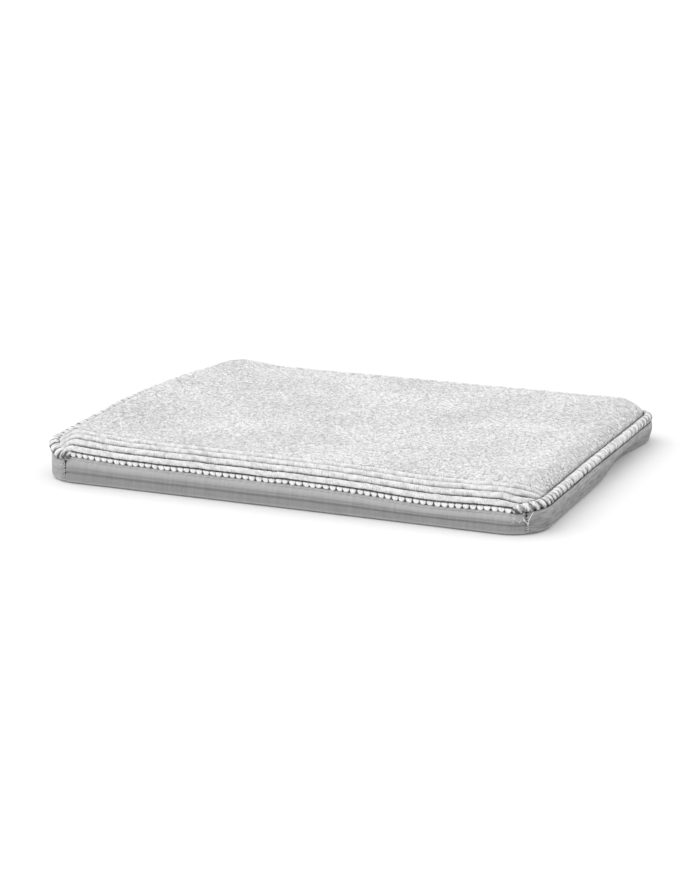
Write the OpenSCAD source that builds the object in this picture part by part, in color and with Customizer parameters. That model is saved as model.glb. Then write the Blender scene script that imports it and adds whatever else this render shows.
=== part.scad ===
// Foam-filled bath mat: a tufted pile cover over two foam slabs, boxed with four side
// bands and closed below by a base panel with a dotted grip coating.
// The mat lies on the XY plane, long side along X, centred on the origin, +Z up.
// Sections are drawn as [inset, height], where the inset is measured inwards from the
// outer face of the mat, and are then swept along the sides and round the corners.

/* [Mat] */
// Length of the mat, along X
mat_l = 500; // [440:10:700]
// Width of the mat, along Y
mat_w = 400; // [340:10:500]
// Height over the pile
mat_h = 42; // [41:1:46]
// Corner radius in plan
corner_r = 38; // [36:1:48]

/* [Side walls] */
// Height of the seam between the side bands and the cover
seam_z = 20; // [18:1:20]
// Thickness of the side band cloth
band_t = 1.4; // [1:0.1:1.6]
// Radius at which the bands roll under the mat
band_roll = 4.4; // [3:0.2:5]
// Radius of the sewn tuck that runs along the long bands
tuck_r = 0.8; // [0.4:0.1:0.8]

/* [Pile] */
// Radius of one tuft row on the shoulders of the long sides
row_r = 3.8; // [3:0.1:3.8]
// Gap between neighbouring tuft rows
row_gap = 0.2; // [0.2:0.1:0.4]
// Thickness of the ground cloth that carries the pile
ground_t = 1; // [0.6:0.1:1.4]

/* [Edge finish] */
// Radius of the rolled edge along the short ends
roll_r = 3.5; // [3:0.1:3.5]
// Diameter of the thread wrapped round the rolled edge
wrap_d = 0.8; // [0.4:0.1:0.8]
// Distance between wraps along the rolled edge
wrap_pitch = 9; // [6:0.5:14]
// Distance between the stitches below the tuft rows
stitch_pitch = 6.75; // [5:0.25:9]

/* [Base] */
// Thickness of the base panel cloth
base_t = 1; // [0.6:0.1:1.2]
// Height of one grip dot
dot_h = 0.5; // [0.5:0.1:0.8]
// Diameter of one grip dot
dot_d = 9; // [4:1:12]
// Distance between grip dots
dot_pitch = 25; // [20:1:40]

/* [Hidden] */
$fn = 48;

// straight part of each side, to either side of its middle
half_x = mat_l / 2 - corner_r;
half_y = mat_w / 2 - corner_r;
clear = 0.2;

// base: grip film, base panel, and the inset at which the bands meet them
film_t = 0.3;
base_z = dot_h + film_t;
base_top = base_z + base_t;
band_face = tuck_r;
band_toe = band_face + band_roll + 1;
base_inset = band_toe + clear;
toe_z = base_top - band_t;

// seam allowance of the cover, lying on the lower foam and the tops of the bands
flange_t = 0.8;
flange_top = seam_z + flange_t;

// shoulder: an ellipse that falls from the flat of the pile to the edge
shoulder_d = 31;
ground_foot = 2 * (roll_r + wrap_d) + 2 * clear;
ground_spring = flange_top + 5.2;
ground_top = mat_h - 7.8;
foam_foot = ground_foot + ground_t + clear;
arc_steps = 12;

// tuft rows: their centres walk up an ellipse one row diameter at a time
row_spring = flange_top + 7.2;
row_a = shoulder_d - row_r - clear;
row_b = mat_h - row_r - row_spring;
row_start = 1.5;
row_pitch = 2 * row_r + row_gap;
open_rows = 4;
field_inset = row_centre(open_rows - 1)[0] + row_r + clear;

// rolled edge along the short ends, and the foot of the pile behind it
roll_inset = roll_r + wrap_d;
roll_z = flange_top + roll_r + wrap_d + clear / 2;
pile_foot = ground_foot - clear;
pile_spring = roll_z + 2;
pile_low = ground_top + clear / 2;

// corner angle, from the long side, at which the bands, rows and rolls change over
change_angle = 26;
change_s = half_x + corner_r * change_angle * PI / 180;
joint_angle = 0.6;

stitch_r = 1.6;
stitch_inset = 2.8;
stitch_reach = half_x + 7.5;
stitch_count = floor(2 * stitch_reach / stitch_pitch) + 1;
thread_r = 0.3;
seam_step = 2.6;
tail_len = 9;
tail_spread = 18;
hem_len = 5;
hem_pitch = 9;

pile_grey = [0.90, 0.90, 0.91];
row_grey = [0.93, 0.93, 0.94];
band_grey = [0.62, 0.61, 0.63];
end_grey = [0.70, 0.69, 0.71];
thread_grey = [0.95, 0.95, 0.95];
foam_white = [0.96, 0.95, 0.90];

// every section point lies on a grid of 0.001 mm, so that neighbouring sweeps meet exactly
function fine(v) = [for (x = v) round(x * 1000) / 1000];

// a quarter ellipse from its foot, at [centre - a, z], to its crown, at [centre, z + b]
function rise(a, b, z, from = 0) =
    [for (i = [0:arc_steps]) let (t = from + (90 - from) * i / arc_steps)
        [shoulder_d - a * cos(t), z + b * sin(t)]];
function backwards(pts) = [for (i = [len(pts) - 1:-1:0]) pts[i]];

// length of the row ellipse up to angle t, the angle at a given length, and the centre there
function row_point(t) = [shoulder_d - row_a * cos(t), row_spring + row_b * sin(t)];
function walked(t, i = 0) = i == arc_steps ? 0 :
    norm(row_point(t * (i + 1) / arc_steps) - row_point(t * i / arc_steps)) + walked(t, i + 1);
function angle_at(s, low = 0, high = 90, k = 0) = let (mid = (low + high) / 2)
    k == 14 ? mid : walked(mid) < s ? angle_at(s, mid, high, k + 1) : angle_at(s, low, mid, k + 1);
function row_centre(k) = fine(row_point(angle_at(row_start + k * row_pitch)));

// sections, as [inset, height]
function ground_outer() = rise(shoulder_d - ground_foot, ground_top - ground_spring, ground_spring);
function ground_section() = concat(
    [[1, seam_z], [ground_foot + ground_t, seam_z]],
    rise(shoulder_d - ground_foot - ground_t, ground_top - ground_t - ground_spring, ground_spring),
    [[corner_r, ground_top - ground_t], [corner_r, ground_top]],
    backwards(ground_outer()),
    [[ground_foot, flange_top], [1, flange_top]]);
function upper_foam_section() = concat(
    [[foam_foot, seam_z]],
    rise(shoulder_d - foam_foot, ground_top - ground_t - clear - ground_spring, ground_spring),
    [[corner_r, ground_top - ground_t - clear], [corner_r, seam_z]]);
function lower_foam_section() = let (r = band_roll - band_t - clear, c = band_face + band_roll)
    concat(
        [for (i = [0:6]) [c - r * sin(15 * i), base_top + r - r * cos(15 * i)]],
        [[c - r, seam_z], [corner_r, seam_z], [corner_r, base_top]]);
function pile_end_section() = concat(
    rise(shoulder_d - pile_foot, mat_h - pile_spring, pile_spring),
    [[corner_r, mat_h], [corner_r, pile_low]],
    backwards(rise(shoulder_d - ground_foot + clear / 2, pile_low - ground_spring, ground_spring,
        asin((pile_spring - ground_spring) / (pile_low - ground_spring)))));
function pile_side_section() =
    [[field_inset, pile_low], [corner_r, pile_low], [corner_r, mat_h], [field_inset, mat_h]];
function band_section(tuck) = let (c = band_face + band_roll, bulge = tuck ? tuck_r : 0)
    concat(
        [[band_face + band_t, seam_z], [band_face, seam_z]],
        [for (i = [0:6]) [band_face - bulge * sin(30 * i), seam_z / 2 + tuck_r * cos(30 * i)]],
        [for (i = [0:6]) [c - band_roll * cos(15 * i), toe_z + band_roll * (1 - sin(15 * i))]],
        [[band_toe, toe_z], [band_toe, base_top]],
        [for (i = [6:-1:0]) [c - (band_roll - band_t) * cos(15 * i),
            toe_z + band_roll - (band_roll - band_t) * sin(15 * i)]]);

// sweeps: along the front, along the right end, and round the front right corner
module section(pts) polygon([for (p = pts) fine(p)]);
module front_run(pts)
    translate([-half_x, -mat_w / 2, 0]) rotate([90, 0, 90]) linear_extrude(2 * half_x) section(pts);
module right_run(pts)
    translate([mat_l / 2, -half_y, 0]) rotate([90, 0, 180]) linear_extrude(2 * half_y) section(pts);
module corner_turn(from, to)
    translate([half_x, -half_y, 0])
        if (to == 90) mirror([0, 1, 0]) rotate_extrude(angle = 90 - from) children();
        else rotate([0, 0, from - 90]) rotate_extrude(angle = to - from) children();
module corner_bend(pts, from = 0, to = 90)
    corner_turn(from, to) section([for (p = pts) [corner_r - p[0], p[1]]]);
module both_ends() {
    children();
    mirror([1, 0, 0]) children();
}
module both_sides() {
    children();
    mirror([0, 1, 0]) children();
}
module all_round(pts) {
    both_sides() front_run(pts);
    both_ends() right_run(pts);
    both_ends() both_sides() corner_bend(pts);
}
module middle(low, high)
    translate([-half_x, -half_y, low]) cube([2 * half_x, 2 * half_y, high - low]);

// rounded rectangle in plan
module plan(inset) {
    square([2 * half_x, mat_w - 2 * inset], center = true);
    square([mat_l - 2 * inset, 2 * half_y], center = true);
    for (x = [-half_x, half_x], y = [-half_y, half_y])
        translate([x, y]) circle(corner_r - inset);
}

// a place on the front or the right edge, at length s from its middle and a given inset
module on_front(s, inset) {
    turn = sign(s) * max(0, abs(s) - half_x) / corner_r * 180 / PI;
    translate([sign(s) * min(abs(s), half_x), -half_y, 0]) rotate([0, 0, turn])
        translate([0, inset - corner_r, 0]) children();
}
module on_right(s, inset) {
    turn = sign(s) * max(0, abs(s) - half_y) / corner_r * 180 / PI;
    translate([half_x, sign(s) * min(abs(s), half_y), 0]) rotate([0, 0, 90 + turn])
        translate([0, inset - corner_r, 0]) children();
}

// base
module base_fabric() color(band_grey)
    translate([0, 0, base_z]) linear_extrude(base_t) plan(base_inset);

module grip_coating() color(foam_white) {
    nx = floor((half_x + corner_r - base_inset - dot_d) / dot_pitch);
    ny = floor((half_y + corner_r - base_inset - dot_d) / dot_pitch);
    translate([0, 0, dot_h]) linear_extrude(film_t) plan(base_inset);
    for (i = [-nx:nx], j = [-ny:ny])
        if (abs(i) + abs(j) < nx + ny)
            translate([i * dot_pitch, j * dot_pitch, 0]) cylinder(d = dot_d, h = dot_h + film_t / 2);
}

// filling
module lower_foam() color(foam_white) {
    all_round(lower_foam_section());
    middle(base_top, seam_z);
}
module upper_foam() color(foam_white) {
    all_round(upper_foam_section());
    middle(seam_z, ground_top - ground_t - clear);
}

// cover
module ground_fabric() color(end_grey) {
    all_round(ground_section());
    middle(ground_top - ground_t, ground_top);
}
module pile_field() color(pile_grey) {
    both_sides() front_run(pile_side_section());
    both_ends() right_run(pile_end_section());
    both_ends() both_sides() {
        corner_bend(pile_side_section(), 0, change_angle);
        corner_bend(pile_end_section(), change_angle, 90);
    }
    middle(pile_low, mat_h);
}
module front_pile_row(k) color(row_grey) {
    c = row_centre(k);
    translate([-half_x, c[0] - mat_w / 2, c[1]]) rotate([0, 90, 0]) cylinder(r = row_r, h = 2 * half_x);
    both_ends() corner_turn(0, change_angle - joint_angle)
        translate([corner_r - c[0], c[1]]) circle(row_r);
}
module right_edge_roll() color(row_grey) {
    translate([mat_l / 2 - roll_inset, -half_y, roll_z]) rotate([-90, 0, 0])
        cylinder(r = roll_r, h = 2 * half_y);
    both_sides() corner_turn(change_angle + joint_angle, 90)
        translate([corner_r - roll_inset, roll_z]) circle(roll_r);
}
module right_edge_wrap() color(thread_grey) {
    reach = half_y + corner_r * (88 - change_angle) * PI / 180;
    turns = floor(reach / wrap_pitch);
    for (i = [-turns:turns])
        on_right(i * wrap_pitch, roll_inset) translate([0, 0, roll_z]) rotate([0, 90, 0])
            rotate_extrude($fn = 24) translate([roll_r + wrap_d / 2, 0]) circle(wrap_d / 2, $fn = 16);
}
module front_edge_stitches() color(thread_grey)
    for (i = [0:stitch_count - 1])
        on_front((i - (stitch_count - 1) / 2) * stitch_pitch, stitch_inset)
            translate([0, 0, flange_top]) cylinder(r = stitch_r, h = stitch_top() - flange_top, $fn = 24);
// highest level at which a stitch is still clear of the first tuft row
function stitch_top() = row_centre(0)[1] - row_r - clear / 2;

// side bands
module front_band() color(band_grey) {
    front_run(band_section(true));
    both_ends() corner_bend(band_section(true), 0, change_angle - joint_angle);
}
module right_band() color(end_grey) {
    right_run(band_section(false));
    both_sides() corner_bend(band_section(false), change_angle + joint_angle, 90);
}

// whip stitches up one corner seam, and the thread tails left on one of them
module corner_seam(tails = false) color(thread_grey) {
    steps = floor((seam_z - 2 * band_roll) / seam_step);
    for (i = [0:steps])
        on_front(change_s, band_face - thread_r)
            translate([0, 0, toe_z + band_roll + 1 + i * seam_step]) rotate([0, 90, 0])
                cylinder(r = thread_r, h = 2.6, center = true, $fn = 16);
    if (tails)
        for (side = [-1, 1])
            on_front(change_s + 2 * side, -thread_r)
                translate([0, 0, seam_z]) rotate([0, 180 + side * tail_spread, 0])
                    cylinder(r = thread_r, h = tail_len, $fn = 16);
}

// running stitches that close the bands to the base panel
module hem_stitch(low) translate([-hem_len / 2, 0, low]) rotate([0, 90, 0])
    cylinder(r = 0.15, h = hem_len, $fn = 16);
module base_hem_stitching() color(thread_grey) {
    reach = corner_r * PI / 4;
    nx = floor((half_x + reach) / hem_pitch);
    ny = floor((half_y + reach) / hem_pitch);
    both_sides() for (i = [-nx:nx])
        on_front(i * hem_pitch, band_toe - 0.5) hem_stitch(toe_z - 0.15);
    both_ends() for (i = [-ny:ny])
        on_right(i * hem_pitch, band_toe - 0.5) hem_stitch(toe_z - 0.15);
}

base_fabric();
grip_coating();
lower_foam();
upper_foam();
ground_fabric();
pile_field();
front_pile_row(0);  // front_pile_row_1
front_pile_row(1);  // front_pile_row_2
front_pile_row(2);  // front_pile_row_3
front_pile_row(3);  // front_pile_row_4
mirror([0, 1, 0]) front_pile_row(0);  // back_pile_row_1
mirror([0, 1, 0]) front_pile_row(1);  // back_pile_row_2
mirror([0, 1, 0]) front_pile_row(2);  // back_pile_row_3
mirror([0, 1, 0]) front_pile_row(3);  // back_pile_row_4
mirror([1, 0, 0]) right_edge_roll();  // left_edge_roll
right_edge_roll();
mirror([1, 0, 0]) right_edge_wrap();  // left_edge_wrap
right_edge_wrap();
front_edge_stitches();
mirror([0, 1, 0]) front_edge_stitches();  // back_edge_stitches
front_band();
mirror([0, 1, 0]) front_band();  // back_band
mirror([1, 0, 0]) right_band();  // left_band
right_band();
mirror([1, 0, 0]) corner_seam();  // corner_seam_front_left
corner_seam(tails = true);  // corner_seam_front_right
mirror([1, 0, 0]) mirror([0, 1, 0]) corner_seam();  // corner_seam_back_left
mirror([0, 1, 0]) corner_seam();  // corner_seam_back_right
base_hem_stitching();
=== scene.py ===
"""Plush bath mat: cut pile over foam, open tuft rows on the long sides, rolled ends,
sewn side bands and a dotted grip base. Metres; +X along the long sides, +Z up."""
import math
import random

import bmesh
import bpy
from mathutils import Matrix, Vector, noise


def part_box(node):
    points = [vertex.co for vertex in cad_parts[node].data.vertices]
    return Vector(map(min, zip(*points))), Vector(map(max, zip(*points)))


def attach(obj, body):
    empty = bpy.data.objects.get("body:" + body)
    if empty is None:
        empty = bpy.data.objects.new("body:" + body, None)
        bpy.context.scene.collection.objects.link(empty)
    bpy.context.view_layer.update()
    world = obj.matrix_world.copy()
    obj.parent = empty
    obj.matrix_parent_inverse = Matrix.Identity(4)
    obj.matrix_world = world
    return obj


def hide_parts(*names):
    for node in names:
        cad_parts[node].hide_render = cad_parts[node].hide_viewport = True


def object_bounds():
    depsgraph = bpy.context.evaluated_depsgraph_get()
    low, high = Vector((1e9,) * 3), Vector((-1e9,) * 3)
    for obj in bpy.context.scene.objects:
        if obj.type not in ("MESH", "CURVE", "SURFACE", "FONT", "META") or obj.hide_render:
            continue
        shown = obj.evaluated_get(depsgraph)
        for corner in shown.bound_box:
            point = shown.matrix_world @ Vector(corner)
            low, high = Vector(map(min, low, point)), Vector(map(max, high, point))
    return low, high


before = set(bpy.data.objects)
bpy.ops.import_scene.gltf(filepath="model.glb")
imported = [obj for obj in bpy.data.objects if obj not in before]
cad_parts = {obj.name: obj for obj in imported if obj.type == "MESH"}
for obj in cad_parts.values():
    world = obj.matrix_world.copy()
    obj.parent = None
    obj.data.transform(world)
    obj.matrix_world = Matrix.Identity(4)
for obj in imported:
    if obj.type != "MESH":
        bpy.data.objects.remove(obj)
cad_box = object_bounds()

MM = 0.001
QUARTER_TURN = math.pi / 2

# ---------------------------------------------------------------- sizes of the mat
HIGH = cad_box[1]
CORNER_R = 38 * MM
HALF_X = HIGH.x - CORNER_R
HALF_Y = HIGH.y - CORNER_R
TOP = HIGH.z

SEAM_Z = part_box("front_band")[1].z
STITCH_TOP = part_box("front_edge_stitches")[1].z
ROLL_LOW, ROLL_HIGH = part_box("right_edge_roll")
ROLL_Z = (ROLL_LOW.z + ROLL_HIGH.z) / 2
ROLL_R = (ROLL_HIGH.z - ROLL_LOW.z) / 2 + 0.9 * MM
ROLL_INSET = HIGH.x - ROLL_HIGH.x + ROLL_R - 1.2 * MM
BASE_INSET = HIGH.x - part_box("base_fabric")[1].x
BAND_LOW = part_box("front_band")[0].z
GROUND_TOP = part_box("ground_fabric")[1].z
BAND_TOP = SEAM_Z + 1.6 * MM
FOAM_INSET = 7.2 * MM

# shoulder of the cover: its crown, its foot on a long side and on an end, and the corner
# angles between which the one becomes the other
CROWN_INSET = 31 * MM
SIDE_FOOT = (1.5 * MM, STITCH_TOP + 1.2 * MM)
END_FOOT = (ROLL_INSET + ROLL_R * 0.8, ROLL_Z + ROLL_R * 0.62)
END_FROM, END_TO = math.radians(2), math.radians(58)
SHOULDER_STEPS = 48
ROW_PITCH = 8 * MM
ROWS = 4
# how far past the start of a corner each line between tuft rows runs before it meets the edge
ROW_END = {
    "front_right": [CORNER_R * math.radians(a) for a in (50, 62, 75, 88, 101)],
    "others": [CORNER_R * math.radians(a) for a in (16, 26, 36, 48, 60)],
}
STITCH_COUNT, STITCH_PITCH = 66, 6.68 * MM
STITCH_SHIFT = 5 * MM
ROLL_SLANT = 3.4 * MM
# corner angles in degrees, from the long side, of the seam between two bands and of the
# start of the roll
SEAM_ANGLE = {"front_left": 14, "front_right": 42, "back_left": 26, "back_right": 26}
ROLL_ANGLE = {"front_left": 1, "front_right": 19, "back_left": 20, "back_right": 20}


def mix(a, b, t):
    return a + (b - a) * t


def smooth(low, high, x):
    t = min(1.0, max(0.0, (x - low) / (high - low)))
    return t * t * (3 - 2 * t)


def hump(x, centre, width):
    return math.exp(-((x - centre) / width) ** 2)


def rough(x, y=0.0, z=0.0, seed=0.0):
    """Smooth noise from about -1 to 1; one unit is one lump."""
    return noise.noise(Vector((x, y, z + 17.3 * seed)))


def tufts(x, y, seed=0.0):
    """Distance to the nearest tuft tip, about 0 to 0.9, tufts being one unit apart."""
    return noise.voronoi(Vector((x, y, 0.5 + 17.3 * seed)))[0][0]


# ---------------------------------------------------------------- places on the mat
def on_side(turns, s):
    """The corner centre or core point, and the outward direction, at length s from the
    middle of a side: 0 front, 1 right, 2 back, 3 left. Past a corner it runs on along the next."""
    half, other = (HALF_X, HALF_Y) if turns % 2 == 0 else (HALF_Y, HALF_X)
    over = max(0.0, abs(s) - half)
    beyond = max(0.0, over - CORNER_R * QUARTER_TURN)
    phi = math.copysign((over - beyond) / CORNER_R, s)
    core = Vector((max(-half, min(half, s)), beyond - other, 0))
    out = Vector((math.sin(phi), -math.cos(phi), 0))
    for _ in range(turns):
        core = Vector((-core.y, core.x, 0))
        out = Vector((-out.y, out.x, 0))
    return core, out


def corner_angle(out):
    """0 where the edge faces a long side, a quarter turn where it faces an end."""
    return math.atan2(abs(out.x), abs(out.y))


def endness(out):
    return smooth(END_FROM, END_TO, corner_angle(out))


_shoulders = {}


def shoulder(end):
    """The cover's section at the given endness: (length, place, normal) from foot to crown,
    round on a long side and a gentler slope on an end."""
    key = round(end * 100)
    if key not in _shoulders:
        e = key / 100
        foot, foot_z = (mix(SIDE_FOOT[i], END_FOOT[i], e) for i in (0, 1))
        wide, tall = CROWN_INSET - foot, TOP - foot_z
        full, steep = mix(2.0, 1.75, e), mix(0.5, 0.78, e)
        places = []
        for i in range(SHOULDER_STEPS + 1):
            q = 1 - math.cos(QUARTER_TURN * i / SHOULDER_STEPS)
            places.append(Vector((foot + wide * q, foot_z + tall * (1 - (1 - q) ** full) ** steep)))
        table, walked = [], 0.0
        for i, here in enumerate(places):
            before, after = places[max(0, i - 1)], places[min(SHOULDER_STEPS, i + 1)]
            run = (after - before).normalized()
            walked += (here - before).length
            table.append((walked, here, Vector((-run.y, run.x))))
        _shoulders[key] = table
    return _shoulders[key]


def cover_point(core, out, w):
    """The point and normal of the cover at length w up the shoulder from its foot."""
    table = shoulder(endness(out))
    total = table[-1][0]
    if w >= total:
        inset, z, normal = CROWN_INSET + w - total, TOP, Vector((0, 1))
    else:
        i = 0
        while table[i + 1][0] < w:
            i += 1
        (w0, p0, n0), (w1, p1, n1) = table[i], table[i + 1]
        t = (w - w0) / (w1 - w0)
        (inset, z), normal = p0.lerp(p1, t), n0.lerp(n1, t).normalized()
    point = core + out * (CORNER_R - inset)
    point.z = z
    return point, Vector((-out.x * normal.x, -out.y * normal.x, normal.y))


def row_line(k, core, out):
    """Length up the shoulder of the line below tuft row k + 1; it runs out to the foot at a corner."""
    past = CORNER_R * corner_angle(out) + HALF_Y - abs(core.y)
    corner = "front_right" if core.x > 0 > core.y else "others"
    share = min(1.0, max(0.0, past) / ROW_END[corner][k])
    drawn_in = shoulder(0)[-1][0] - shoulder(endness(out))[-1][0]
    return max(0.0, k * ROW_PITCH * (1 - share ** 3.2) ** 0.6 - drawn_in)


LEFT_RISE, LEFT_DRAW = 12 * MM, 0.5 * MM
RIGHT_TUCK, RIGHT_TUCK_Y, RIGHT_TUCK_REACH = 9 * MM, 86 * MM, 60 * MM
RIGHT_DRAW, SIDE_DRAW = 1.2 * MM, 1.0 * MM
DIP_ANGLE, DIP_SPREAD = math.radians(27), math.radians(20)
FRONT_LEFT_DIP, OTHER_DIP = 5.5 * MM, 2.0 * MM
DIP_START = 0.3
# share of the half length or half width at which the lie of an edge begins
EDGE_START = 0.62


def front_sag(x):
    """How far the front edge lies above level: it falls to the right, with a dip on the way."""
    return 0.75 * MM * (1.9 - 9 * x - 4.4 * hump(x, 150 * MM, 60 * MM))


def settled(p):
    """The mat as it lies: the seam sags along the front and dips at the corners, the left end
    is plumper than the right, and the right end is tucked under towards the back."""
    side_x = smooth(EDGE_START * HIGH.x, HIGH.x, abs(p.x))
    side_y = smooth(EDGE_START * HIGH.y, HIGH.y, abs(p.y))
    high = smooth(4 * MM, 20 * MM, p.z)
    low = 1 - smooth(3 * MM, 19 * MM, p.z)
    left = side_x * (p.x < 0) * hump(p.y, 10 * MM, 190 * MM)
    right = side_x * (p.x > 0)
    x = p.x + LEFT_DRAW * left
    x -= RIGHT_TUCK * right * low * hump(p.y, RIGHT_TUCK_Y, RIGHT_TUCK_REACH)
    x -= RIGHT_DRAW * right * math.cos(QUARTER_TURN * p.y / HIGH.y)
    draw = SIDE_DRAW * math.cos(QUARTER_TURN * p.x / HIGH.x) * side_y
    y = p.y - math.copysign(draw, p.y)
    z = p.z + LEFT_RISE * left * smooth(4 * MM, 25 * MM, p.z)
    if p.y < 0:
        z += front_sag(p.x) * side_y * high
    corner = Vector((max(0.0, abs(p.x) - HALF_X), max(0.0, abs(p.y) - HALF_Y)))
    if corner.length > DIP_START * CORNER_R:
        dip = hump(math.atan2(corner.x, corner.y), DIP_ANGLE, DIP_SPREAD)
        fall = FRONT_LEFT_DIP if p.x < 0 and p.y < 0 else OTHER_DIP
        z -= fall * dip * smooth(DIP_START, 0.95, corner.length / CORNER_R) * high
    wide_swell, small_swell = rough(p.x * 9, p.y * 9, 0, 3), rough(p.x * 30, p.y * 30, 0, 4)
    z += (0.6 * MM * wide_swell + 0.3 * MM * small_swell) * high
    return Vector((x, y, z))


# ---------------------------------------------------------------- making pieces
def finished(bm, name, node, material):
    """A mesh object from bm that rides on the mat and stands for a CAD node."""
    bmesh.ops.remove_doubles(bm, verts=bm.verts, dist=1e-6)
    bmesh.ops.recalc_face_normals(bm, faces=bm.faces)
    for v in bm.verts:
        v.co = settled(v.co)
    mesh = bpy.data.meshes.new(name)
    bm.to_mesh(mesh)
    bm.free()
    mesh.shade_smooth()
    piece = bpy.data.objects.new(name, mesh)
    bpy.context.scene.collection.objects.link(piece)
    mesh.materials.append(material)
    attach(piece, "root")
    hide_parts(node)
    return piece


def laid(bm, across, along, place, size):
    """Adds a grid of cells to bm, laid where place(u, v) says for u and v from 0 to 1: a point
    and how deep in shade it lies, 1 being deep. Its UV map runs in metres, size being the cloth
    laid out."""
    uv = bm.loops.layers.uv.verify()
    depth = bm.verts.layers.float.get("depth") or bm.verts.layers.float.new("depth")
    verts = bmesh.ops.create_grid(bm, x_segments=across, y_segments=along, size=0.5)["verts"]
    for face in {f for v in verts for f in v.link_faces}:
        for loop in face.loops:
            loop[uv].uv = ((loop.vert.co.x + 0.5) * size[0], (loop.vert.co.y + 0.5) * size[1])
    for v in verts:
        v.co, v[depth] = place(v.co.x + 0.5, v.co.y + 0.5)


# ---------------------------------------------------------------- pile
PILE_CELL = 1.34 * MM
TUFT = 3.9 * MM
COMBED_TUFT_X, COMBED_TUFT_Y = 5.0 * MM, 2.9 * MM
LUMP = 8 * MM
SWEEP_X, SWEEP_Y = 30 * MM, 24 * MM
FIELD_RIM, RIM_FALL = 4.5 * MM, 1.6 * MM
SPLAY_FROM, SPLAY_TO = HALF_X + 8 * MM, HALF_X + 26 * MM


def plush(x, y, comb):
    """Height of the cut pile at a place on the cover, and how deep it lies in painted shade,
    darker between tufts and where combed tufts part; comb is 1 where the tufts splay over an end."""
    near = tufts(x / TUFT, y / TUFT)
    lump = rough(x / LUMP, y / LUMP, 1.0)
    sweep = rough(x / SWEEP_X, y / SWEEP_Y, 9.0)
    height = 1.05 * (0.45 - near) + 0.34 * lump + 0.22 * sweep
    # painted shade: darker between tufts and in low lumps
    depth = 0.55 * smooth(0.36, 0.78, near) + 0.14 * (0.5 - lump)
    if comb > 0:
        strand = tufts(x / COMBED_TUFT_X, y / COMBED_TUFT_Y, 2.0)
        height = mix(height, 1.5 * (0.45 - strand) + 0.3 * lump, comb)
        # painted shade in the partings between combed tufts
        depth = mix(depth, 0.5 * smooth(0.40, 0.85, strand), comb)
    return height * MM, depth


def field_reach(core, out):
    """How far the pile field runs from the core line to its edge, over the shoulder."""
    return CORNER_R - CROWN_INSET + shoulder(endness(out))[-1][0] - row_line(ROWS, core, out)


def field_place(fx, fy):
    """Surface point, normal and combed share of the field; fx and fy run to 1 at the core
    line and on to 2 at its edge."""
    core = Vector((max(-1, min(1, fx)) * HALF_X, max(-1, min(1, fy)) * HALF_Y, 0))
    ex, ey = max(0.0, abs(fx) - 1), max(0.0, abs(fy) - 1)
    f = max(ex, ey)
    if f == 0:
        return Vector((core.x, core.y, TOP)), Vector((0, 0, 1)), 0.0
    theta = 0.5 * QUARTER_TURN * (ey / ex if ex >= ey else 2 - ex / ey)
    out = Vector((math.copysign(math.cos(theta), fx), math.copysign(math.sin(theta), fy), 0))
    total = shoulder(endness(out))[-1][0]
    w = CORNER_R - CROWN_INSET + total - f * field_reach(core, out)
    point, normal = cover_point(core, out, w)
    return point, normal, endness(out) * smooth(0.45, 0.90, f) * (fx > 0)


def pile_field(material):
    """The plush field: a close grid over the top and down the shoulders, closed underneath."""
    side = field_reach(Vector((0, HALF_Y, 0)), Vector((0, 1, 0)))
    end = field_reach(Vector((HALF_X, 0, 0)), Vector((1, 0, 0)))
    half_x, half_y = HALF_X + end, HALF_Y + side
    cells_x, cells_y = round(2 * half_x / PILE_CELL), round(2 * half_y / PILE_CELL)

    def stretch(t, core):
        """A share of the cloth, 0 to 1, as the -2 to 2 that field_place takes."""
        t = 2 * t - 1
        if abs(t) <= core:
            return t / core
        return math.copysign(1 + (abs(t) - core) / (1 - core), t)

    def place(u, v):
        fx, fy = stretch(u, HALF_X / half_x), stretch(v, HALF_Y / half_y)
        point, normal, comb = field_place(fx, fy)
        height, depth = plush((2 * u - 1) * half_x, (2 * v - 1) * half_y, comb)
        from_edge = 2 * min(half_x * min(u, 1 - u), half_y * min(v, 1 - v))
        rim = 1 - min(1.0, from_edge / FIELD_RIM)
        # the rim falls away and is painted into shade where the field meets the tuft rows and the rolls
        return point + normal * (height - RIM_FALL * rim ** 2), depth + 0.7 * rim ** 2

    bm = bmesh.new()
    laid(bm, cells_x, cells_y, place, (2 * half_x, 2 * half_y))
    # splay marks the combed zone over the right end, where the pile material draws partings and paints
    # the slope lighter against its shade
    splay = bm.verts.layers.float.new("splay")
    for v in bm.verts:
        v[splay] = smooth(SPLAY_FROM, SPLAY_TO, v.co.x)
    rim = [e for e in bm.edges if e.is_boundary]
    for shrink, z in ((0.985, None), (0.93, GROUND_TOP + 0.3 * MM)):
        made = bmesh.ops.extrude_edge_only(bm, edges=rim)["geom"]
        for v in (g for g in made if isinstance(g, bmesh.types.BMVert)):
            v.co.x *= shrink
            v.co.y *= shrink
            v.co.z = z or v.co.z - 2.5 * MM
        rim = [e for e in made if isinstance(e, bmesh.types.BMEdge) and e.is_boundary]
    bmesh.ops.holes_fill(bm, edges=rim)
    piece = finished(bm, "plush_field", "pile_field", material)
    2 * half_x
    2 * half_y
    return piece


ROW_CELL, ROW_AROUND = 0.74 * MM, 18
# share of the way round a row's section that is its plump top; the rest is tucked below
ROW_TOP = 0.74
ROW_TUCK = 0.3
ROW_DROP = 4.2 * MM


def row_relief(s, t, seed):
    """Strands and tufts of a row at length s and place t across, -1 to 1."""
    slant = s + 1.6 * MM * t
    strand = rough(slant / (0.9 * MM), 0.8 * t, 0, seed)
    tuft = 0.30 * rough(slant / (3.4 * MM), t, 0, seed + 5)
    return strand, tuft + 0.30 * rough(s / (12 * MM), 0, 0, seed + 7)


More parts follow.
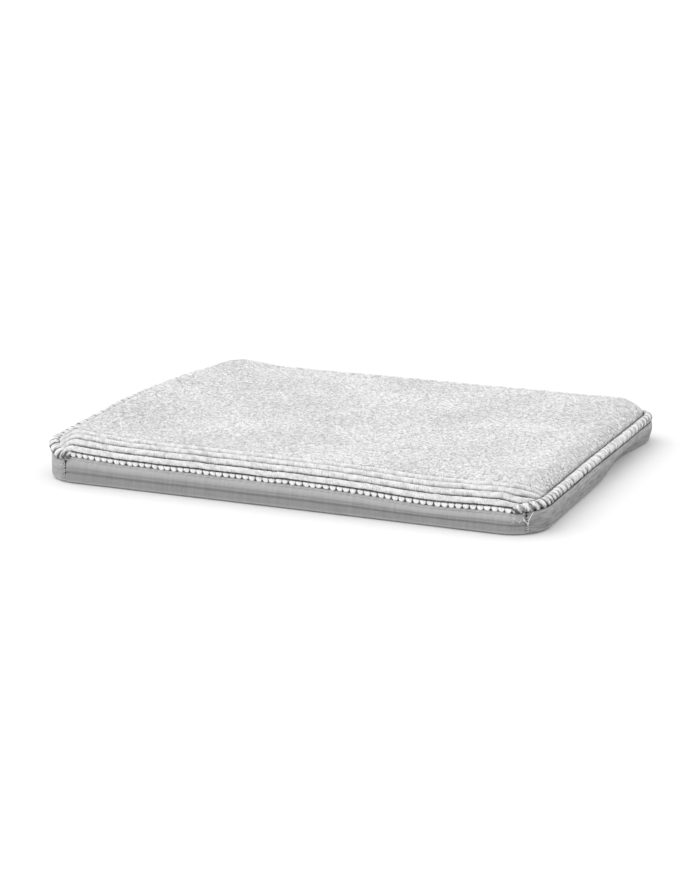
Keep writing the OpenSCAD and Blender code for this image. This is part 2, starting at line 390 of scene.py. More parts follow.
def pile_row(turns, k, material):
    """Tuft row k + 1 of a long side: a plump roll that runs round into both corners."""
    seed = 10 * turns + k
    first = -HALF_X - ROW_END["others"][k + 1]
    last = HALF_X + ROW_END["front_right" if turns == 0 else "others"][k + 1]

    def place(u, v):
        s = mix(first, last, u)
        core, out = on_side(turns, s)
        low, high = row_line(k, core, out), row_line(k + 1, core, out)
        # the ends of a row lie wholly in painted shade
        if u in (0, 1):
            return cover_point(core, out, low)[0], 1.0
        width = max(0.02 * MM, high - low)
        full = min(1.0, width / (0.8 * ROW_PITCH))
        below = max(0.0, (v - ROW_TOP) / (1 - ROW_TOP))
        tuck = ROW_TUCK * math.sin(math.pi * below)
        if below > 0:
            t, sunk = 1 - 2 * below, 1 + tuck
        else:
            t = 2 * v / ROW_TOP - 1
            sunk = 1 - (1 - abs(t) ** 2.4) ** 0.62
        wander = 0.45 * MM * rough(s / (26 * MM), k, 0, seed)
        ragged = 0.42 * MM * rough(s / (1.9 * MM), math.copysign(2, t), k, 5)
        w = low + width * (t * (1 - tuck) + 1) / 2 + full * (wander + ragged * abs(t))
        point, normal = cover_point(core, out, max(0.0, w))
        strand, tuft = row_relief(s, t, seed)
        rise = (0.9 + 0.20 * strand + tuft) * (1 - min(1, sunk)) * full
        fall = min(ROW_DROP, 0.62 * width) * sunk
        # painted shade: the row darkens where it tucks into the grooves between rows, most along the
        # outermost edges, and in the hollows between strands
        outermost = (k == 0 and t < 0) or (turns == 0 and k == ROWS - 1 and t > 0)
        edge = 1.8 * smooth(0.14, 0.65, sunk) if outermost else 1.1 * smooth(0.24, 0.85, sunk)
        depth = edge + 0.20 * smooth(-0.1, 0.6, -strand)
        return point + normal * (rise * MM - fall), depth

    bm = bmesh.new()
    steps = round((last - first) / ROW_CELL)
    laid(bm, steps, ROW_AROUND, place, (last - first, 2.2 * ROW_PITCH))
    side = "front" if turns == 0 else "back"
    return finished(bm, f"{side}_tuft_row_{k + 1}", f"{side}_pile_row_{k + 1}", material)


# ---------------------------------------------------------------- edges
def edge_stitches(turns, material):
    """Fat whip stitches between the lowest tuft row and the band: full above, narrow below."""
    rng = random.Random(40 + turns)
    foot, head = BAND_TOP - 0.2 * MM, STITCH_TOP + 0.7 * MM
    shift = STITCH_SHIFT * (turns == 0)
    bm = bmesh.new()
    depth = bm.verts.layers.float.new("depth")
    for i in range(STITCH_COUNT):
        s = (i - (STITCH_COUNT - 1) / 2) * STITCH_PITCH + rng.uniform(-0.3, 0.3) * MM + shift
        core, out = on_side(turns, s)
        along = Vector((-out.y, out.x, 0))
        lean = rng.uniform(-0.8, 0.5) * MM
        plump = rng.uniform(0.94, 1.06)
        short = rng.uniform(0, 0.7) * MM
        ball = bmesh.ops.create_uvsphere(bm, u_segments=12, v_segments=9, radius=1)
        for v in ball["verts"]:
            x, y, z = (math.copysign(abs(c) ** 0.5, c) for c in v.co)
            rise = (z + 1) / 2
            wide = mix(2.0, 3.2, smooth(0, 0.7, rise)) * MM * plump
            inset = mix(5.4, 4.4, rise) * MM - y * 2.2 * MM
            spot = core + out * (CORNER_R - inset) + along * (x * wide + lean * (1 - rise))
            spot.z = mix(foot + short, head, rise)
            # painted shade on each stitch: darker at its sides, towards the gaps between stitches, and at
            # its head, under the lowest tuft row
            v.co, v[depth] = spot, 0.3 * smooth(0.75, 1.0, abs(x)) + 0.8 * smooth(0.8, 1.0, rise)
    side = "front" if turns == 0 else "back"
    return finished(bm, f"{side}_whip_stitches", f"{side}_edge_stitches", material)


def corner_reach(angles, turns, sign):
    """Signed length along a side to where the given angle of its next corner lies."""
    right = turns == 1 or (turns == 0 and sign > 0) or (turns == 2 and sign < 0)
    front = turns == 0 or (turns == 1 and sign < 0) or (turns == 3 and sign > 0)
    angle = math.radians(angles[f"{'front' if front else 'back'}_{'right' if right else 'left'}"])
    if turns % 2 == 0:
        return sign * (HALF_X + CORNER_R * angle)
    return sign * (HALF_Y + CORNER_R * (QUARTER_TURN - angle))


def roll_ends(turns):
    return corner_reach(ROLL_ANGLE, turns, -1), corner_reach(ROLL_ANGLE, turns, 1)


def roll_marks(turns):
    """Places where a roll is drawn in, and how hard: close and hard at the corners."""
    rng = random.Random(70 + turns)
    first, last = roll_ends(turns)
    marks, s = [], first - 6 * MM
    while s < last + 8 * MM:
        corner = smooth(0.55 * HALF_Y, HALF_Y, abs(s))
        marks.append((s, mix(rng.uniform(0.25, 0.8), rng.uniform(0.8, 1.0), corner)))
        s += mix(rng.uniform(9, 20), rng.uniform(7, 10), corner) * MM
    return marks


def roll_centre(turns, s):
    core, out = on_side(turns, s)
    centre = core + out * (CORNER_R - ROLL_INSET)
    centre.z = ROLL_Z + 1.8 * MM * (turns == 3) * (1 - smooth(HALF_Y - 30 * MM, HALF_Y + 8 * MM, abs(s)))
    return centre, out


def outer_share(angle):
    """From 0 inwards to 1 on the side of a roll that faces out and down, where notches bite."""
    return smooth(-0.9, 0.7, math.cos(angle + 0.9))


ROLL_CELL, ROLL_AROUND = 0.62 * MM, 26


def edge_roll(turns, material):
    """The bunched roll along an end: lumps between notches, each of slanting strands."""
    name = "right" if turns == 1 else "left"
    seed = 70 + turns
    first, last = roll_ends(turns)
    marks = roll_marks(turns)
    plump = 1.28 if turns == 3 else 1.03

    def place(u, v):
        s = mix(first, last, u)
        centre, out = roll_centre(turns, s)
        angle = 2 * math.pi * v
        taper = min(1.0, 60 * min(u, 1 - u)) ** 0.5 if 0 < u < 1 else 0.0
        slanted = s + ROLL_SLANT * math.sin(angle) * (1 if s < 0 else -1)
        nearest, pull = min((abs(slanted - m), pull) for m, pull in marks)
        outer = outer_share(angle)
        notch = pull * math.exp(-(nearest / (mix(0.75, 1.7, outer) * MM)) ** 1.6)
        strand = rough(slanted / (0.85 * MM), 1.5 * math.cos(angle), 0, seed)
        lump = rough(s / (7 * MM), math.sin(angle), 0, seed + 3)
        corner = smooth(HALF_Y - 10 * MM, HALF_Y + 14 * MM, abs(s))
        r = ROLL_R * (plump + 0.06 * corner - mix(0.22, 0.62, outer) * notch
                      + 0.10 * strand + 0.10 * lump)
        spot = centre + out * (r * taper * math.cos(angle))
        spot.z += r * taper * math.sin(angle)
        # painted shade: darker in the notches and between strands, mottled on the underside, and on the
        # inner upper side where the roll meets the pile field (parting)
        shade = smooth(-0.5, 0.7, -math.sin(angle))
        shade *= 0.7 + 1.1 * rough(s / (2.6 * MM), angle, 0, seed + 5)
        parting = smooth(0.45, 0.85, -math.cos(angle)) * smooth(-0.2, 0.3, math.sin(angle))
        depth = 1.1 * notch + 0.35 * smooth(0, 0.6, -strand) + 0.7 * shade + 0.9 * parting
        return spot, depth

    bm = bmesh.new()
    steps = round((last - first) / ROLL_CELL)
    laid(bm, steps, ROLL_AROUND, place, (last - first, 2 * math.pi * ROLL_R))
    return finished(bm, f"{name}_bunched_roll", f"{name}_edge_roll", material)


HARD_PULL = 0.6
THREAD_R = 0.35 * MM


def edge_wrap(turns, material):
    """The overlock thread, one slanting turn in each hard notch of the roll."""
    name = "right" if turns == 1 else "left"
    first, last = roll_ends(turns)
    bm = bmesh.new()
    for mark, pull in roll_marks(turns):
        if pull < HARD_PULL or not first + 5 * MM < mark < last - 5 * MM:
            continue

        def place(u, v):
            angle, ring = 2 * math.pi * u, 2 * math.pi * v
            slant = ROLL_SLANT * math.sin(angle) * (1 if mark < 0 else -1)
            centre, out = roll_centre(turns, mark - slant)
            along = Vector((-out.y, out.x, 0))
            r = ROLL_R * mix(0.80, 1.04 - 0.62 * pull, outer_share(angle))
            r += THREAD_R * (1 + math.cos(ring))
            spot = centre + out * (r * math.cos(angle)) + along * (THREAD_R * math.sin(ring))
            spot.z += r * math.sin(angle)
            return spot, 0.3

        laid(bm, 20, 5, place, (2 * math.pi * ROLL_R, 2 * MM))
    return finished(bm, f"{name}_overlock_thread", f"{name}_edge_wrap", material)


# ---------------------------------------------------------------- bands
BAND_T = 1.2 * MM
BAND_ROLL = 4.4 * MM
BAND_CELL, FACE_ROWS, BEND_ROWS = 1.4 * MM, 39, 8
# heights of the sewn tuck of a long band: its upper lip, its fold and its lower lip
TUCK_LIP, TUCK_FOLD, TUCK_FOOT = 13.1 * MM, 11.8 * MM, 9.7 * MM
LEAN_START = 9 * MM
BULGE = 1.8 * MM
SEAM_NIP, SEAM_WIDTH = 1.3 * MM, 1.6 * MM
# painted light and shade on the cloth of each band from how the light falls, the right end darker, the
# left end lighter: front, right, back, left
BAND_PAINTED_SHADING = (0, 0.3, 0, -0.5)


def band_inset(z, tucked):
    """How far in the face of a band lies at height z: it leans back above, a tuck runs
    along the long sides, and it rolls under below."""
    up = max(0.0, z - LEAN_START) / (SEAM_Z - LEAN_START)
    inset = 0.5 * MM + (1.4 if tucked else 0.3) * MM * up ** 1.5
    if tucked:
        inset += 2.4 * MM * smooth(0.55, 1.15, up)
        inset += MM * (0.5 * hump(z, TUCK_LIP, 0.7 * MM) - 0.6 * hump(z, TUCK_FOLD, 0.9 * MM)
                       + 0.9 * hump(z, TUCK_FOOT, 1.1 * MM))
    return inset


def band_outline(tucked):
    """Section of a band as (inset, z), from its top edge down and under to the base."""
    points = []
    for i in range(FACE_ROWS + 1):
        z = mix(BAND_TOP, BAND_LOW + BAND_ROLL, i / FACE_ROWS)
        points.append(Vector((band_inset(z, tucked), z)))
    start = points[-1].x
    for i in range(1, BEND_ROWS + 1):
        a = QUARTER_TURN * i / BEND_ROWS
        inset, z = start + BAND_ROLL * (1 - math.cos(a)), BAND_LOW + BAND_ROLL * (1 - math.sin(a))
        points.append(Vector((inset, z)))
    points.append(Vector((max(BASE_INSET, points[-1].x + 0.3 * MM), BAND_LOW)))
    return points


def band(turns, material):
    """One side band, a strip of cloth with its thickness turned inwards."""
    long_side = turns % 2 == 0
    name = ("front", "right", "back", "left")[turns]
    first, last = corner_reach(SEAM_ANGLE, turns, -1), corner_reach(SEAM_ANGLE, turns, 1)
    outline = band_outline(long_side)
    steps, rows = round((last - first) / BAND_CELL), len(outline) - 1

    def place(u, v):
        s = mix(first, last, u)
        core, out = on_side(turns, s)
        t = v * rows
        i = min(rows - 1, int(t))
        inset, z = outline[i].lerp(outline[i + 1], t - i)
        body = smooth(BAND_LOW, 4 * MM, z)
        pucker = 0.28 * MM * math.cos(2 * math.pi * s / STITCH_PITCH)
        pucker *= smooth(14 * MM, SEAM_Z, z) * long_side
        wave = 0.45 * MM * rough(s / (42 * MM), z / (9 * MM), 0, 90 + turns) * body
        creases = 0.10 * MM * rough(s / (2.2 * MM), z / (14 * MM), 0, 95) * body
        seam = (hump(s, first, SEAM_WIDTH) + hump(s, last, SEAM_WIDTH)) * body
        full = (turns == 1) * hump(z, 15 * MM, 9 * MM) * smooth(0, 25 * MM, min(s - first, last - s))
        spot = core + out * (CORNER_R - inset - SEAM_NIP * seam + pucker + wave + creases + BULGE * full)
        spot.z = z
        # painted shade in the folds of the tuck along the long bands; painted light at the top of each
        # band that turns to painted shade further down and eases off near the floor; darker at the seams
        # between bands
        tuck = long_side * (0.1 * hump(z, 13.0 * MM, 0.8 * MM) + 0.25 * hump(z, 9.8 * MM, 1.0 * MM))
        shade = (min(1.0, (BAND_TOP - z) / (BAND_TOP - 12 * MM)) - 0.2) * smooth(1 * MM, 5 * MM, z)
        return spot, min(1.2, tuck + shade + BAND_PAINTED_SHADING[turns] + seam)

    bm = bmesh.new()
    laid(bm, steps, rows, place, (last - first, 30 * MM))
    piece = finished(bm, f"{name}_side_band", f"{name}_band", material)
    wall = piece.modifiers.new("thickness", "SOLIDIFY")
    wall.thickness = BAND_T
    wall.offset = -1
    last - first
    return piece


def thread_rod(bm, start, end, radius, bow=0.0):
    """A short length of thread from start to end, bowed, with closed tips."""
    run = end - start
    side = run.cross(Vector((0, 0, 1)))
    side = side.normalized() if side.length > 1e-9 else Vector((1, 0, 0))
    up = side.cross(run).normalized()

    def place(u, v):
        angle = 2 * math.pi * v
        r = radius * math.sin(math.pi * u) ** 0.35 if 0 < u < 1 else 0.0
        centre = start + run * u + up * (bow * math.sin(math.pi * u))
        return centre + (side * math.cos(angle) + up * math.sin(angle)) * r, 0.0

    laid(bm, 8, 6, place, (run.length, radius * 6))


LOOSE_CURLS = 9


def corner_seam(where, material):
    """Whip stitches over the joint between two bands, with loose tails at one corner."""
    node = f"corner_seam_{where}"
    rng = random.Random(len(where) + 3)
    turns = 0 if where.startswith("front") else 2
    right = where.endswith("right")
    s = corner_reach(SEAM_ANGLE, turns, 1 if right == (turns == 0) else -1)
    out = on_side(turns, s)[1]
    along = Vector((-out.y, out.x, 0))

    def face(z, proud=0.0, aside=0.0):
        here, facing = on_side(turns, s + aside)
        spot = here + facing * (CORNER_R - band_inset(z, False) + proud)
        spot.z = z
        return spot

    bm = bmesh.new()
    z = BAND_LOW + 3.4 * MM
    while z < SEAM_Z - 1.2 * MM:
        wide, tilt = rng.uniform(1.3, 2.0) * MM, rng.uniform(0.3, 0.9) * MM
        lower, upper = face(z - tilt, -0.5 * MM, -wide), face(z + tilt, -0.3 * MM, wide)
        thread_rod(bm, lower, upper, 0.36 * MM, -0.5 * MM)
        z += rng.uniform(1.9, 2.6) * MM
    if where == "front_right":
        knot = face(11.5 * MM, 0.3 * MM)
        thread_rod(bm, knot, face(19.5 * MM, 1.0 * MM, -5.0 * MM), 0.55 * MM, -0.6 * MM)
        thread_rod(bm, knot, face(22.5 * MM, 1.4 * MM, 5.5 * MM), 0.50 * MM, 0.8 * MM)
        thread_rod(bm, knot - along * 1.1 * MM, knot + along * 1.1 * MM, 0.9 * MM)
        for _ in range(LOOSE_CURLS):
            aside, z = rng.uniform(-15, -5) * MM, rng.uniform(12, 19) * MM
            turn = rng.uniform(-1, 1)
            end = face(z + 1.6 * MM * math.sin(turn * 3), 0.9 * MM, aside + 2.2 * MM * math.cos(turn * 3))
            thread_rod(bm, face(z, 0.2 * MM, aside), end, 0.26 * MM, 0.7 * MM * turn)
    return finished(bm, node.replace("seam", "seam_thread"), node, material)


# ---------------------------------------------------------------- base and filling
SLAB_CELL, CORNER_STEPS = 12 * MM, 12


def rounded_plate(bm, inset, z):
    """A flat rounded rectangle at height z, one face, as a start for a slab."""
    spots = []
    r = CORNER_R - inset
    for start, (sx, sy) in enumerate(((1, -1), (1, 1), (-1, 1), (-1, -1)), -1):
        for i in range(CORNER_STEPS + 1):
            a = QUARTER_TURN * (start + i / CORNER_STEPS)
            spots.append(bm.verts.new((sx * HALF_X + r * math.cos(a), sy * HALF_Y + r * math.sin(a), z)))
    return bm.faces.new(spots)


def slab(bm, inset, low, high):
    """A rounded slab cut across in both directions, so that it follows the lie of the mat."""
    plate = rounded_plate(bm, inset, low)
    raised = bmesh.ops.extrude_face_region(bm, geom=[plate])["geom"]
    verts = [g for g in raised if isinstance(g, bmesh.types.BMVert)]
    bmesh.ops.translate(bm, verts=verts, vec=(0, 0, high - low))
    for axis, half in ((0, HIGH.x), (1, HIGH.y)):
        cuts = int(2 * half / SLAB_CELL)
        for i in range(1, cuts):
            at, facing = Vector((0, 0, 0)), Vector((0, 0, 0))
            at[axis], facing[axis] = mix(-half, half, i / cuts), 1
            whole = bm.verts[:] + bm.edges[:] + bm.faces[:]
            bmesh.ops.bisect_plane(bm, geom=whole, plane_co=at, plane_no=facing)


def base_panel(material):
    """The woven base panel that closes the box."""
    low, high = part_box("base_fabric")
    bm = bmesh.new()
    slab(bm, BASE_INSET, low.z, high.z)
    piece = finished(bm, "woven_base_panel", "base_fabric", material)
    return piece


DOT_PITCH, DOT_MARGIN = 25 * MM, 9 * MM
DOT_TIP_R, DOT_R, DOT_H = 3.6 * MM, 4.5 * MM, 0.5 * MM


def grip_film(material):
    """The anti-slip film with its printed dots, which the mat stands on."""
    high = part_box("grip_coating")[1]
    bm = bmesh.new()
    slab(bm, BASE_INSET, DOT_H, high.z)
    nx, ny = (int((reach - DOT_MARGIN) / DOT_PITCH) for reach in (high.x, high.y))
    for i in range(-nx, nx + 1):
        for j in range(-ny, ny + 1):
            if abs(i) + abs(j) == nx + ny:
                continue
            dot = bmesh.ops.create_cone(
                bm, cap_ends=True, segments=20, radius1=DOT_TIP_R, radius2=DOT_R, depth=DOT_H)
            place = (i * DOT_PITCH, j * DOT_PITCH, DOT_H / 2)
            bmesh.ops.translate(bm, verts=dot["verts"], vec=place)
    return finished(bm, "dotted_grip_film", "grip_coating", material)


def foam(node, name, inset_low, inset_high, material):
    """A foam slab, its walls leaning from the lower inset to the upper one."""
    low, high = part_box(node)
    top = high.z - 0.4 * MM
    bm = bmesh.new()
    slab(bm, inset_low, low.z, top)
    for v in bm.verts:
        if v.co.z > (low.z + top) / 2:
            v.co.x *= 1 - (inset_high - inset_low) / HIGH.x
            v.co.y *= 1 - (inset_high - inset_low) / HIGH.y
    piece = finished(bm, name, node, material)
    return piece


CARRIER_CELLS = (240, 30)
CARRIER_EDGE, CARRIER_FOOT = 3.2 * MM, 8.6 * MM
CARRIER_SPRING, CARRIER_CROWN = 25 * MM, GROUND_TOP - 0.9 * MM


def carrier_section(v):
    """Inset and height of the ground cloth: the seam allowance, its wall and its rounded top."""
    edge_z, flat_from = SEAM_Z + 0.2 * MM, CROWN_INSET + 4 * MM
    if v < 1 / 3:
        return mix(CARRIER_EDGE, CARRIER_FOOT, 3 * v), edge_z
    if v < 2 / 3:
        return CARRIER_FOOT, mix(edge_z, CARRIER_SPRING, 3 * v - 1)
    a = QUARTER_TURN * (3 * v - 2)
    inset = flat_from - (flat_from - CARRIER_FOOT) * math.cos(a)
    return inset, mix(CARRIER_SPRING, CARRIER_CROWN, math.sin(a))


def carrier_cloth(material):
    """The ground cloth under the pile, over the upper foam and out to the seam."""
    half, corner = (HALF_X, HALF_Y), CORNER_R * QUARTER_TURN
    reach = 4 * (HALF_X + HALF_Y) + 4 * corner

    def place(u, v):
        s, turns = u * reach, 0
        while s > 2 * half[turns % 2] + corner and turns < 3:
            s -= 2 * half[turns % 2] + corner
            turns += 1
        core, out = on_side(turns, s - half[turns % 2])
        inset, z = carrier_section(v)
        spot = core + out * (CORNER_R - inset)
        spot.z = z
        return spot, 0.0

    bm = bmesh.new()
    laid(bm, *CARRIER_CELLS, place, (reach, 50 * MM))
    bmesh.ops.remove_doubles(bm, verts=bm.verts, dist=1e-6)
    loops = [e for e in bm.edges if e.is_boundary and min(v.co.z for v in e.verts) > CARRIER_SPRING]
    bmesh.ops.holes_fill(bm, edges=loops)
    piece = finished(bm, "carrier_cloth", "ground_fabric", material)
    wall = piece.modifiers.new("thickness", "SOLIDIFY")
    wall.thickness = 0.8 * MM
    wall.offset = 0
    return piece


HEM_PITCH = 6 * MM


def hem_stitches(material):
    """Running stitches that close the bands to the base panel."""
    bm = bmesh.new()
    for turns in range(4):
        half = HALF_X if turns % 2 == 0 else HALF_Y
        reach = half + CORNER_R * QUARTER_TURN / 2
        count = round(2 * reach / HEM_PITCH)
        for i in range(count):
            core, out = on_side(turns, mix(-reach, reach, (i + 0.5) / count))
            along = Vector((-out.y, out.x, 0))
            middle = core + out * (CORNER_R - BASE_INSET + 0.8 * MM)
            middle.z = BAND_LOW - 0.1 * MM
            thread_rod(bm, middle - along * 2 * MM, middle + along * 2 * MM, 0.22 * MM)
    return finished(bm, "hem_thread", "base_hem_stitching", material)


# ---------------------------------------------------------------- materials
class Socket:
    """A shader value that can be worked with as a number."""

    def __init__(self, tree, source):
        self.tree, self.source = tree, source

    def _maths(self, operation, *values):
        node = self.tree.nodes.new("ShaderNodeMath")
        node.operation = operation
        for slot, value in zip(node.inputs, values):
            if isinstance(value, Socket):
                self.tree.links.new(value.source, slot)
            else:
                slot.default_value = value
        return Socket(self.tree, node.outputs[0])

    def __add__(self, other):
        return self._maths("ADD", self, other)

    def __sub__(self, other):
        return self._maths("SUBTRACT", self, other)

    def __rsub__(self, other):
        return self._maths("SUBTRACT", other, self)

    def __mul__(self, other):
        return self._maths("MULTIPLY", self, other)

    __radd__, __rmul__ = __add__, __mul__

    def __abs__(self):
        return self._maths("ABSOLUTE", self)


class Finish:
    """A material under construction: nodes by type, settings first, then sockets."""

    def __init__(self, name):
        self.material = bpy.data.materials.new(name)
        self.material.use_nodes = True
        self.tree = self.material.node_tree
        self.tree.nodes.clear()
        self.shader = self.tree.nodes.new("ShaderNodeBsdfPrincipled")
        output = self.tree.nodes.new("ShaderNodeOutputMaterial")
        self.tree.links.new(self.shader.outputs[0], output.inputs[0])

    def node(self, kind, settings=None, out=0, **sockets):
        made = self.tree.nodes.new(kind)
        for key, value in (settings or {}).items():
            setattr(made, key, value)
        for key, value in sockets.items():
            self.set(made, key.replace("_", " "), value)
        return Socket(self.tree, made.outputs[out])

    def set(self, made, key, value):
        slot = made.inputs[key]
        if isinstance(value, Socket):
            self.tree.links.new(value.source, slot)
        else:
            slot.default_value = value

    def where(self, space="Object"):
        return self.node("ShaderNodeTexCoord", out=space)

    def share(self, name):
        """A share, 0 to 1 or a little past, that the making of the piece left on its points."""
        return self.node("ShaderNodeAttribute", {"attribute_name": name}, out="Fac")

    # the painted shade each piece left on its points, 1 being deep in shade
    def depth(self):
        return self.share("depth")

    def scaled(self, vector, scale):
        made = self.tree.nodes.new("ShaderNodeVectorMath")
        made.operation = "MULTIPLY"
        self.tree.links.new(vector.source, made.inputs[0])
        made.inputs[1].default_value = scale
        return Socket(self.tree, made.outputs[0])

    def grain(self, vector, scale, detail=2.0, roughness=0.5):
        """Noise with the given number of grains to the metre on each axis."""
        return self.node("ShaderNodeTexNoise", Vector=self.scaled(vector, scale), Scale=1.0,
                         Detail=detail, Roughness=roughness)

    def tint(self, share, dark, light):
        """The colour between dark and light where share is between 0 and 1."""
        made = self.tree.nodes.new("ShaderNodeMix")
        made.data_type = "RGBA"
        self.tree.links.new(share.source, made.inputs[0])
        made.inputs[6].default_value = (*dark, 1)
        made.inputs[7].default_value = (*light, 1)
        return Socket(self.tree, made.outputs[2])

    def done(self, colour, roughness, height=None, depth=1.0, sheen=0.0):
        """The finished material; depth is that of its bump, in millimetres."""
        self.set(self.shader, "Base Color", colour)
        self.set(self.shader, "Roughness", roughness)
        self.shader.inputs["Specular IOR Level"].default_value = 0.25
        self.shader.inputs["Sheen Weight"].default_value = sheen
        self.shader.inputs["Sheen Roughness"].default_value = 0.6
        if height is not None:
            bump = self.node("ShaderNodeBump", Height=height, Distance=depth * MM, Strength=1.0)
            self.set(self.shader, "Normal", bump)
        return self.material


def grey(value):
    """A grey of the given brightness with a trace of blue."""
    return (value, value * 0.996, value * 1.004)


def ramped(finish, value, low, high):
    """value brought from the range low to high to the range 0 to 1, and held there."""
    made = finish.tree.nodes.new("ShaderNodeMapRange")
    finish.tree.links.new(value.source, made.inputs[0])
    made.inputs[1].default_value, made.inputs[2].default_value = low, high
    return Socket(finish.tree, made.outputs[0])


def plush_material():
    f = Finish("cut_pile")
    at = f.where()
    fibre = f.grain(at, (620, 900, 900), detail=3)
    curl = f.grain(at, (230, 230, 230), detail=2)
    lock = f.grain(at, (130, 450, 200), detail=1)
    patch = f.grain(at, (14, 18, 18), detail=2)
    gap = ramped(f, abs(curl - 0.5), 0.045, 0.0)
    parting = ramped(f, abs(lock - 0.5), 0.09, 0.0) * f.share("splay")
    # painted shade in the pile: between tufts (depth), in the gaps between curls and in the partings of
    # the combed locks; the combed zone is painted lighter to offset the shade on its slope away from the
    # sun
    dark = 0.30 * f.depth() + 0.10 * gap + 0.50 * parting - 0.24 * f.share("splay")
    tone = ramped(f, 0.72 * fibre + 0.28 * patch - dark, 0.02, 0.56)
    height = fibre - 0.8 * gap - 1.2 * parting
    return f.done(f.tint(tone, grey(0.26), grey(0.86)), 0.95, height, depth=0.8, sheen=0.1)


def row_material():
    f = Finish("open_tufts")
    at = f.where("UV")
    strand = f.grain(at, (1150, 150, 0), detail=2)
    patch = f.grain(at, (130, 200, 0), detail=1)
    tone = ramped(f, 0.5 * strand + 0.5 * patch - 0.42 * f.depth(), 0.02, 0.56)
    return f.done(f.tint(tone, grey(0.10), grey(0.79)), 0.92, strand, depth=0.6, sheen=0.1)


def roll_material():
    f = Finish("bunched_edge")
    at = f.where("UV")
    strand = f.grain(at, (560, 110, 0), detail=2)
    patch = f.grain(at, (140, 240, 0), detail=2)
    tone = ramped(f, 0.75 * strand + 0.25 * patch - 0.42 * f.depth(), 0.16, 0.58)
    return f.done(f.tint(tone, grey(0.12), grey(0.88)), 0.92, strand + patch, depth=0.6, sheen=0.1)


def yarn_material():
    f = Finish("stitch_yarn")
    at = f.where()
    strand = f.grain(at, (1500, 1500, 260), detail=2)
    tone = ramped(f, strand - 0.32 * f.depth(), 0.12, 0.5)
    return f.done(f.tint(tone, grey(0.34), grey(0.94)), 0.85, strand, depth=0.35, sheen=0.1)


def thread_material():
    f = Finish("sewing_thread")
    at = f.where()
    twist = f.grain(at, (2200, 2200, 2200), detail=1)
    return f.done(f.tint(twist, grey(0.66), grey(0.84)), 0.6, twist, depth=0.15, sheen=0.1)


def band_material():
    f = Finish("satin_knit")
    at = f.where("UV")
    rib = f.grain(at, (420, 30, 0), detail=2)
    knit = f.grain(at, (1500, 1500, 0), detail=2)
    tone = ramped(f, 0.2 * rib + 0.8 * knit - 0.42 * f.depth(), -0.08, 0.66)
    return f.done(f.tint(tone, grey(0.13), grey(0.54)), 0.46, 0.4 * rib + knit, depth=0.07, sheen=0.1)


def fleece_material():
    f = Finish("brushed_fleece")
    at = f.where("UV")
    fuzz = f.grain(at, (620, 620, 0), detail=4, roughness=0.65)
    wrinkle = f.grain(at, (70, 330, 0), detail=3)
    tone = ramped(f, 0.4 * fuzz + 0.6 * wrinkle - 0.12 * f.depth(), 0.22, 0.62)
    return f.done(f.tint(tone, grey(0.13), grey(0.45)), 0.92, fuzz + 1.4 * wrinkle, depth=0.7, sheen=0.15)


def woven_material(name, dark, light):
    f = Finish(name)
    at = f.where()
    warp = f.grain(at, (1400, 90, 90), detail=1)
    weft = f.grain(at, (90, 1400, 90), detail=1)
    cloth = 0.5 * warp + 0.5 * weft
    return f.done(f.tint(ramped(f, cloth, 0.35, 0.65), grey(dark), grey(light)), 0.85, cloth, depth=0.2)


def grip_material():
    f = Finish("grip_latex")
    at = f.where()
    skin = f.grain(at, (600, 600, 600), detail=3)
    return f.done(f.tint(skin, grey(0.58), grey(0.70)), 0.55, skin, depth=0.08)


def foam_material(name, dark, light):
    f = Finish(name)
    at = f.where()
    fine = f.scaled(at, (900, 900, 900))
    cells = f.node("ShaderNodeTexVoronoi", {"feature": "F1"}, Vector=fine, Scale=1.0)
    patch = f.grain(at, (30, 30, 30), detail=2)
    tone = ramped(f, 0.7 * cells + 0.3 * patch, 0.1, 0.7)
    return f.done(f.tint(tone, dark, light), 0.9, cells, depth=0.4)


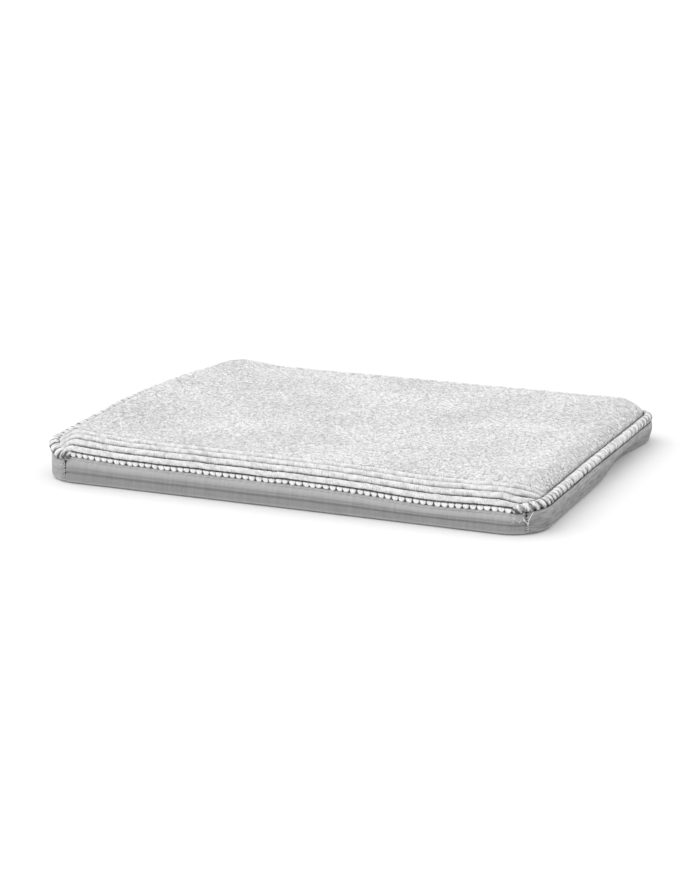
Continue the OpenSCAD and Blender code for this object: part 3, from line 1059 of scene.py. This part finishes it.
# ---------------------------------------------------------------- the mat
def build_mat():
    plush_pile = plush_material()
    rows = row_material()
    rolls = roll_material()
    yarn = yarn_material()
    thread = thread_material()
    knit = band_material()
    fleece = fleece_material()
    pile_field(plush_pile)
    for turns in (0, 2):
        for k in range(ROWS):
            pile_row(turns, k, rows)
        edge_stitches(turns, yarn)
        band(turns, knit)
    for turns in (1, 3):
        edge_roll(turns, rolls)
        edge_wrap(turns, thread)
        band(turns, fleece)
    for where in SEAM_ANGLE:
        corner_seam(where, thread)
    base_panel(woven_material("base_weave", 0.45, 0.60))
    grip_film(grip_material())
    hem_stitches(thread)
    foam("lower_foam", "base_foam_slab", FOAM_INSET, FOAM_INSET,
         foam_material("firm_foam", (0.72, 0.66, 0.50), (0.88, 0.83, 0.68)))
    foam("upper_foam", "comfort_foam_slab", 10.4 * MM, 27 * MM,
         foam_material("soft_foam", (0.80, 0.76, 0.66), (0.92, 0.89, 0.80)))
    carrier_cloth(woven_material("carrier_weave", 0.40, 0.55))


# ---------------------------------------------------------------- studio
def studio():
    """Pale floor, a broad soft sun from the upper left and a bright even surround."""
    bpy.ops.mesh.primitive_plane_add(size=60)
    floor = bpy.context.object
    floor.name = "studio_floor"
    f = Finish("studio_floor")
    floor.data.materials.append(f.done((0.86, 0.86, 0.86, 1), 0.9))

    world = bpy.data.worlds.new("studio")
    bpy.context.scene.world = world
    world.use_nodes = True
    surround = world.node_tree.nodes["Background"]
    surround.inputs[0].default_value = (1, 1, 1, 1)
    surround.inputs[1].default_value = 1.06

    sun = bpy.data.lights.new("soft_sun", "SUN")
    sun.energy, sun.angle = 0.95, math.radians(75)
    made = bpy.data.objects.new("soft_sun", sun)
    bpy.context.scene.collection.objects.link(made)
    made.rotation_euler = Vector((-0.9, -0.20, 1.0)).to_track_quat("Z", "Y").to_euler()


def camera():
    """A long lens from the front right, a little above the mat."""
    azimuth, elevation, distance = math.radians(23.05), math.radians(14.28), 2.1
    level = Vector((math.sin(azimuth), -math.cos(azimuth), 0))
    back = level * math.cos(elevation) + Vector((0, 0, math.sin(elevation)))
    right = Vector((math.cos(azimuth), math.sin(azimuth), 0))
    target = Vector((0, 0, 19.8 * MM)) - right * 10.4 * MM
    data = bpy.data.cameras.new("camera")
    data.lens, data.sensor_width = 87.4, 36
    made = bpy.data.objects.new("camera", data)
    bpy.context.scene.collection.objects.link(made)
    made.location = target + back * distance
    made.rotation_euler = back.to_track_quat("Z", "Y").to_euler()
    bpy.context.scene.camera = made


camera()
build_mat()
studio()
bpy.context.scene.view_settings.view_transform = "Standard"
